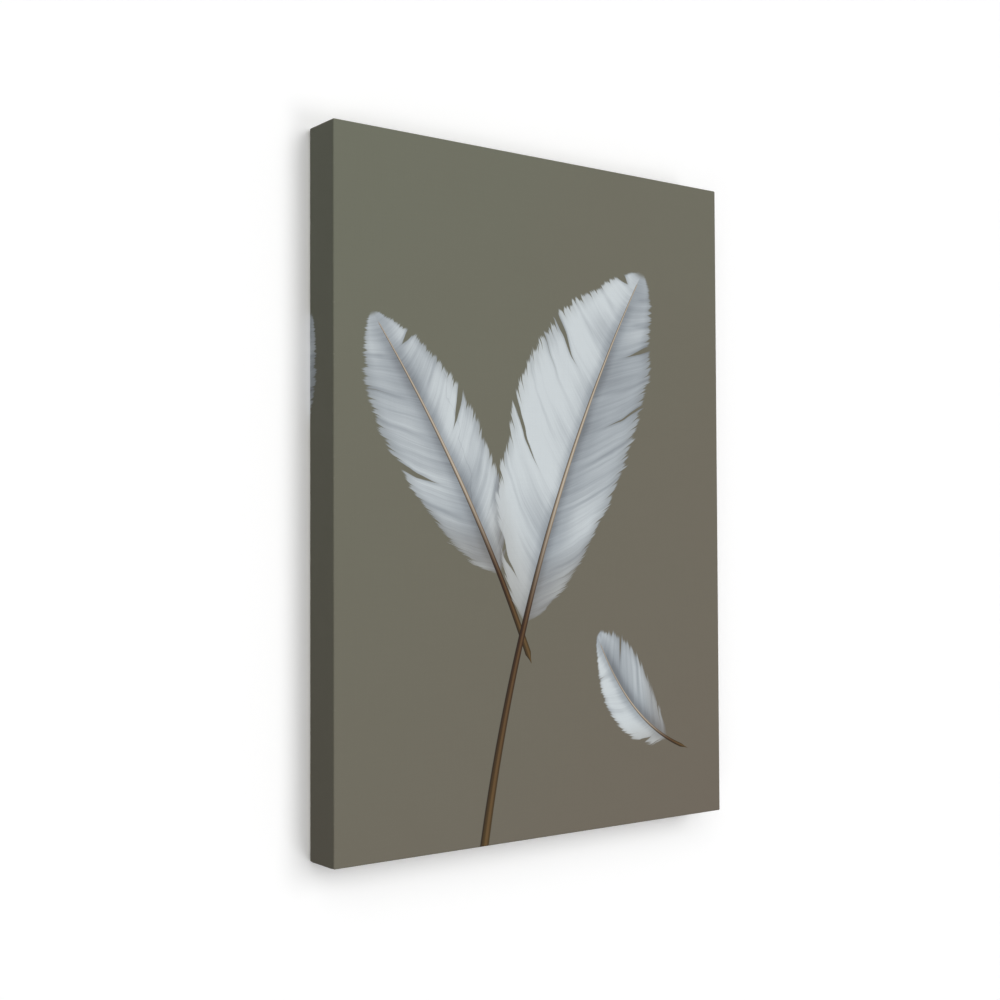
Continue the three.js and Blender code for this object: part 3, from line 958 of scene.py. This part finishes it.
    wrap = me.attributes.new("wrap", "FLOAT", "POINT")
    arcs = [i["arc"] for i in info]
    wrap.data.foreach_set("value", arcs + arcs)
    worn = me.attributes.new("worn", "FLOAT", "POINT")
    near = [
        max(math.exp(-(((a - quarter / 2) / 1.6) ** 2)), 0.7 * math.exp(-(((a - depth + quarter / 2) / 1.6) ** 2)))
        for a in arcs
    ]
    worn.data.foreach_set("value", near + near)
    # painted shade of the folds, for the canvas colour to read
    shade = [i["crease"] for i in info]
    me.attributes.new("crease", "FLOAT", "POINT").data.foreach_set("value", shade + shade)
    edge = [(outer[i], normal[outline(len(rings) - 1, m)[3]]) for m, i in enumerate(rim)]
    return ob, edge


def build_threads(mat, edge):
    """Threads that have worked loose along the cut edge."""
    rnd = random.Random(41)
    verts, faces = [], []
    wood = BACK - 0.8
    for m in range(len(edge)):
        (a, na), (b, nb) = edge[m], edge[(m + 1) % len(edge)]
        gap = float(np.linalg.norm(b - a))
        if na != nb or gap < 1.5:
            continue
        along_ = (b - a) / gap
        for _ in range(rnd.choice((2, 2, 3))):
            start = a + (b - a) * rnd.random()
            long = rnd.random() < 0.035
            length = rnd.uniform(5.0, 10.0) if long else 0.5 + rnd.expovariate(1.1)
            length = min(length, 10.0)
            if abs(start[0]) < 26 and na == (0, 1):
                length = min(length, 0.9)
            rad = rnd.uniform(0.09, 0.14)
            steps = 9 if long else 4
            heading = rnd.uniform(-0.5, 0.5)
            curl = rnd.uniform(-0.28, 0.28) if long else rnd.uniform(-0.25, 0.25)
            p = np.array([start[0] + na[0] * 0.4, start[1] - rnd.uniform(0.12, 0.42), start[2] + na[1] * 0.4])
            path = [p.copy()]
            for k in range(steps):
                d = np.array([-na[0], 0.0, -na[1]]) * math.cos(heading) + along_ * math.sin(heading)
                heading += curl + rnd.uniform(-0.12, 0.12)
                heading = max(-1.4, min(1.4, heading))
                p = p + d * (length / steps)
                p[1] += (wood + rad + 0.02 - p[1]) * (0.30 if long else 0.22)
                path.append(p.copy())
            base = len(verts)
            P = np.array(path)
            T = np.gradient(P, axis=0)
            T /= np.linalg.norm(T, axis=1)[:, None]
            for k, (q, t) in enumerate(zip(P, T)):
                u = np.cross(t, (0.0, 1.0, 0.0))
                u /= np.linalg.norm(u)
                w = np.cross(u, t)
                r = rad * (1.0 if k < len(P) - 1 else 0.45)
                for c in range(5):
                    g = 2 * math.pi * c / 5
                    v = q + u * r * math.cos(g) + w * r * math.sin(g)
                    verts.append(place(*v))
            for k in range(len(P) - 1):
                for c in range(5):
                    i0, i1 = base + k * 5 + c, base + k * 5 + (c + 1) % 5
                    faces.append((i0, i1, i1 + 5, i0 + 5))
            faces.append([base + c for c in range(5)][::-1])
            faces.append([base + (len(P) - 1) * 5 + c for c in range(5)])
    ob = new_mesh("cut_edge_threads", verts, faces, (mat,))
    bm = bmesh.new()
    bm.from_mesh(ob.data)
    bmesh.ops.recalc_face_normals(bm, faces=bm.faces)
    bm.to_mesh(ob.data)
    bm.free()
    return ob


def thread_material():
    m, net, i = material("cotton_thread", rough=0.9, specular=0.2)
    x, y, z = net.place()
    tone = net.noise(x, y, z, scale=0.25, detail=2.0)
    twist = net.noise(x, y, z, scale=6.0, detail=2.0)
    c = net.mix(net.step(0.3, 0.7, tone), srgb(232, 227, 214), srgb(214, 206, 188))
    net.put(i["Base Color"], net.tone(c, 0.86 + 0.22 * twist))
    net.put(i["Roughness"], 0.82 + 0.14 * twist)
    net.put(i["Normal"], net.bump(twist * 0.04, strength=0.6))
    return m


# ------------------------------------------------------------------ staples
STAPLE_W, STAPLE_T, STAPLE_B, STAPLE_LEG = 11.0, 0.6, 1.1, 7.0


def staple_places():
    """(x, z, angle, how far it is lifted) of each staple, as on the stretcher."""
    turns = [4, -3, 6, -5, 2, -6, 3, -2, 5, -4]
    sx, sz = W / 2 - 12.0, H / 2 - 12.0
    out = []
    for i in range(7):
        x = -189 + 378 * i / 6
        out.append((x, sz, math.radians(turns[i % 10]), 0.0))
        out.append((-x, -sz, math.radians(turns[(i + 3) % 10]), 0.0))
    for i in range(10):
        z = -288 + 576 * i / 9
        out.append((-sx, z, math.radians(90 + turns[(i + 5) % 10]), 0.0))
        out.append((sx, -z, math.radians(90 + turns[(i + 1) % 10]), 0.0))
    for a, b, t in ((-1, 1, 45), (1, 1, -45), (-1, -1, -45), (1, -1, 45)):
        out.append((a * (W / 2 - 15), b * (H / 2 - 15), math.radians(t), 0.62))
    return out


def build_staples(mat):
    """Every staple, swept from flattened wire."""
    bend, w = 0.85, STAPLE_W / 2 - STAPLE_T / 2
    top = BACK + 0.02 + STAPLE_T / 2
    verts, faces = [], []
    # section: a flattened wire with rounded corners
    sec = []
    a, b, r = STAPLE_T / 2, STAPLE_B / 2, 0.16
    for cx, cy, t0 in ((a - r, b - r, 0), (-a + r, b - r, 90), (-a + r, -b + r, 180), (a - r, -b + r, 270)):
        for k in range(3):
            t = math.radians(t0 + 45 * k)
            sec.append((cx + r * math.cos(t), cy + r * math.sin(t)))
    for n, (x0, z0, ang, up) in enumerate(staple_places()):
        bow = 0.10 + 0.06 * math.sin(n * 2.1)
        lean = 0.10 * math.sin(n * 1.7)
        path = [(-w, -STAPLE_LEG), (-w, -STAPLE_LEG * 0.5), (-w, -bend)]
        path += [
            (-w + bend * (1 - math.cos(t)), -bend + bend * math.sin(t))
            for t in (math.radians(d) for d in (22.5, 45, 67.5, 90))
        ]
        path += [(w * f, -bow * math.cos(f * math.pi / 2) + lean * f * (1 - f * f)) for f in (-0.6, -0.3, 0.0, 0.3, 0.6)]
        path += [
            (w - bend * (1 - math.cos(t)), -bend + bend * math.sin(t))
            for t in (math.radians(d) for d in (90, 67.5, 45, 22.5))
        ]
        path += [(w, -bend), (w, -STAPLE_LEG * 0.5), (w, -STAPLE_LEG)]
        ca, sa = math.cos(ang), math.sin(ang)
        start = len(verts)
        P = np.array(path)
        T = np.gradient(P, axis=0)
        T /= np.linalg.norm(T, axis=1)[:, None]
        for (px, py), (tx, ty) in zip(P, T):
            nx, ny = -ty, tx  # outward in the staple's own plane
            for s, t in sec:
                lx, ly, lz = px + nx * s, py + ny * s, t
                verts.append(place(x0 + lx * ca - lz * sa, top + up + ly, z0 + lx * sa + lz * ca))
        m = len(sec)
        for i in range(len(path) - 1):
            for j in range(m):
                a0, a1 = start + i * m + j, start + i * m + (j + 1) % m
                faces.append((a0, a1, a1 + m, a0 + m))
        faces.append([start + j for j in range(m)][::-1])
        faces.append([start + (len(path) - 1) * m + j for j in range(m)])
    ob = new_mesh("staples", verts, faces, (mat,))
    bm = bmesh.new()
    bm.from_mesh(ob.data)
    bmesh.ops.recalc_face_normals(bm, faces=bm.faces)
    bm.to_mesh(ob.data)
    bm.free()
    return ob


# ------------------------------------------------------------------ make everything
printed, raw = canvas_materials()
cloth, cut_edge = build_canvas(printed, raw)
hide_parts("canvas")
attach(cloth, "root")
threads = build_threads(thread_material(), cut_edge)
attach(threads, "root")

steel = metal("staple_wire", srgb(196, 198, 200), 0.34, 1.0)
staples = build_staples(steel)
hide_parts(*[n for n in NODES if n.startswith("staple_")])
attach(staples, "root")


def dress(node, mat, bevel=0.0, segments=2, smooth_angle=35.0):
    """Gives a CAD node its material, and breaks its sharp edges where the CAD leaves them."""
    ob = NODES[node]
    ob.data.materials.clear()
    ob.data.materials.append(mat)
    if bevel:
        # the triangles come apart from each other, so they are joined first
        ob.modifiers.new("joined_corners", "WELD").merge_threshold = 1e-6
        b = ob.modifiers.new("broken_edges", "BEVEL")
        b.width = bevel * MM
        b.segments = segments
        b.limit_method = "ANGLE"
        b.angle_limit = math.radians(smooth_angle)
        b.harden_normals = False
        b.use_clamp_overlap = True
    return ob


PINE, PINE_DARK = srgb(226, 196, 150), srgb(190, 140, 86)
for k, (bar, axis) in enumerate((("left", "z"), ("right", "z"), ("top", "x"), ("bottom", "x"))):
    dress(f"stretcher_bar_{bar}", wood(f"pine_{bar}", axis, 1.0 + 2.3 * k, PINE, PINE_DARK))
dress("centre_brace", wood("pine_brace", "x", 12.7, srgb(221, 190, 144), srgb(184, 134, 82)))
beech_z = wood("beech_z", "z", 5.5, srgb(214, 174, 132), srgb(186, 138, 96), knots=0.0, spacing=1.7)
beech_x = wood("beech_x", "x", 7.5, srgb(214, 174, 132), srgb(186, 138, 96), knots=0.0, spacing=1.7)
for n in NODES:
    if n.startswith("corner_key_left") or n.startswith("corner_key_right"):
        dress(n, beech_x, 0.25)
    elif n.startswith("corner_key"):
        dress(n, beech_z, 0.25)

dress("sawtooth_hanger", metal("hanger_zinc", srgb(180, 182, 181), 0.38, 4.0, brushed="x"), 0.12)
nail = metal("nail_steel", srgb(180, 181, 182), 0.32, 6.0, dull=0.4)
for s in ("left", "right"):
    dress(f"hanger_nail_{s}", nail, 0.0)
    dress(f"wall_bumper_{s}", rubber(f"bumper_{s}", srgb(44, 43, 42), 3.0), 0.0)

# ------------------------------------------------------------------ stage and light
def one_sided(name, colour, glow):
    """A plain pale surface that is clear from behind, so that it hides nothing."""
    m = bpy.data.materials.new(name)
    m.use_nodes = True
    t = m.node_tree
    t.nodes.clear()
    net = Net(t)
    out = net.node("ShaderNodeOutputMaterial")
    diff = net.node("ShaderNodeBsdfDiffuse")
    diff.inputs["Color"].default_value = (*colour, 1)
    em = net.node("ShaderNodeEmission")
    em.inputs["Strength"].default_value = glow
    both = net.node("ShaderNodeAddShader")
    t.links.new(diff.outputs[0], both.inputs[0])
    t.links.new(em.outputs[0], both.inputs[1])
    clear = net.node("ShaderNodeBsdfTransparent")
    geo = net.node("ShaderNodeNewGeometry")
    mix = net.node("ShaderNodeMixShader")
    t.links.new(geo.outputs["Backfacing"], mix.inputs[0])
    t.links.new(both.outputs[0], mix.inputs[1])
    t.links.new(clear.outputs[0], mix.inputs[2])
    t.links.new(mix.outputs[0], out.inputs[0])
    m.cycles.emission_sampling = "NONE"
    return m


def card(name, corners, mat):
    ob = new_mesh(name, corners, [(0, 1, 2, 3)], (mat,), smooth=False)
    ob.visible_diffuse = False
    ob.visible_glossy = False
    ob.visible_transmission = False
    ob.visible_shadow = False
    return ob


FLOOR = -1.75
# the wall looks towards the viewer, and the floor looks up
card(
    "wall",
    [(-8, 0.0004, FLOOR), (8, 0.0004, FLOOR), (8, 0.0004, 6), (-8, 0.0004, 6)],
    one_sided("wall_paint", (1.052, 1.052, 1.052), 0.0),
)
card(
    "floor",
    [(-8, -10, FLOOR), (8, -10, FLOOR), (8, 8, FLOOR), (-8, 8, FLOOR)],
    one_sided("floor_paint", (0.8, 0.8, 0.8), 0.40),
)

world = bpy.data.worlds.new("studio")
bpy.context.scene.world = world
world.use_nodes = True
wt = world.node_tree
wt.nodes.clear()
wnet = Net(wt)
wout = wnet.node("ShaderNodeOutputWorld")
bg_seen = wnet.node("ShaderNodeBackground")
bg_seen.inputs[0].default_value = (1, 1, 1, 1)
bg_seen.inputs[1].default_value = 1.05
bg_light = wnet.node("ShaderNodeBackground")
bg_light.inputs[0].default_value = (1, 1, 1, 1)
# the room is dim, and lighter behind the wall on the viewer's right
wdir = wnet.split(Val(wnet, wnet.node("ShaderNodeTexCoord").outputs["Generated"]))
glow_behind = wnet.math("MAXIMUM", wdir[1], 0.0) * wnet.math("MAXIMUM", wdir[0] + 0.5, 0.0)
wnet.put(bg_light.inputs[1], 0.219 + 0.35 * glow_behind)
wmix = wnet.node("ShaderNodeMixShader")
wpath = wnet.node("ShaderNodeLightPath")
wt.links.new(wpath.outputs["Is Camera Ray"], wmix.inputs[0])
wt.links.new(bg_light.outputs[0], wmix.inputs[1])
wt.links.new(bg_seen.outputs[0], wmix.inputs[2])
wt.links.new(wmix.outputs[0], wout.inputs[0])


def far_light(name, toward, spread, strength):
    """A wide soft light a long way off, shining along a direction."""
    d = bpy.data.lights.new(name, "SUN")
    d.angle = math.radians(spread)
    d.energy = strength
    ob = bpy.data.objects.new(name, d)
    bpy.context.scene.collection.objects.link(ob)
    ob.rotation_euler = Vector(toward).to_track_quat("-Z", "Y").to_euler()
    return ob


far_light("upper_left_softbox", (0.449, 0.778, -0.438), 48.0, 0.853)
far_light("upper_right_softbox", (-0.264, 0.919, -0.292), 40.0, 1.124)
far_light("lower_left_softbox", (0.737, 0.565, 0.370), 27.0, 0.243)
far_light("lower_right_softbox", (-0.282, 0.877, 0.390), 27.0, 0.583)
far_light("back_softbox", (-0.40, -1.0, -0.80), 80.0, 1.75)

view = bpy.context.scene.view_settings
view.view_transform = "Standard"
view.look = "None"
view.exposure = 0.0
view.gamma = 1.0
